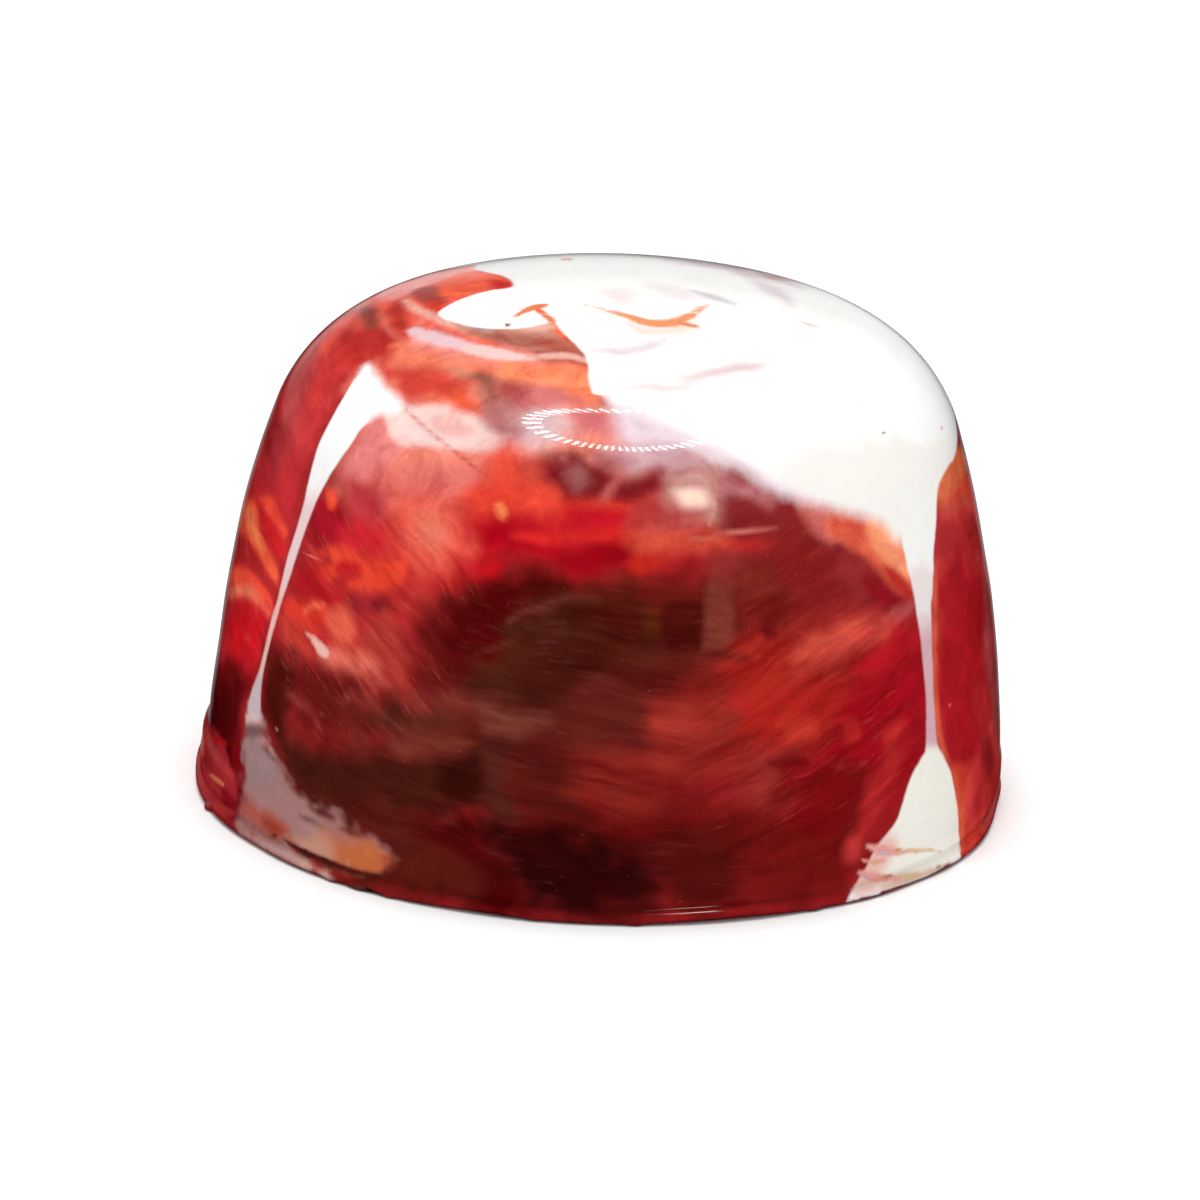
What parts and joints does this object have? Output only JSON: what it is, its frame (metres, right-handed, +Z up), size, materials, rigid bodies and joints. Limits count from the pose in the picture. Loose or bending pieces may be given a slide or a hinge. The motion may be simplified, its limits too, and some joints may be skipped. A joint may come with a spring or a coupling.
{
  "type": "moulded strawberry nougat praline",
  "caption": "Moulded praline: a shiny dome of chocolate with a low crown, a round shoulder, steep walls and a thin uneven foot, flat underneath.",
  "frame": {"origin": "centre of the box of the flat underside", "axes": "+Z up through the crown, -Y towards the front that the picture shows, +X to its right"},
  "size_m": [0.0305, 0.0306, 0.0195],
  "materials": {
    "marbled_chocolate": "high gloss, red chocolate marbled with white and dark brown"
  },
  "bodies": {
    "root": {"praline": "marbled_chocolate"}
  },
  "joints": []
}
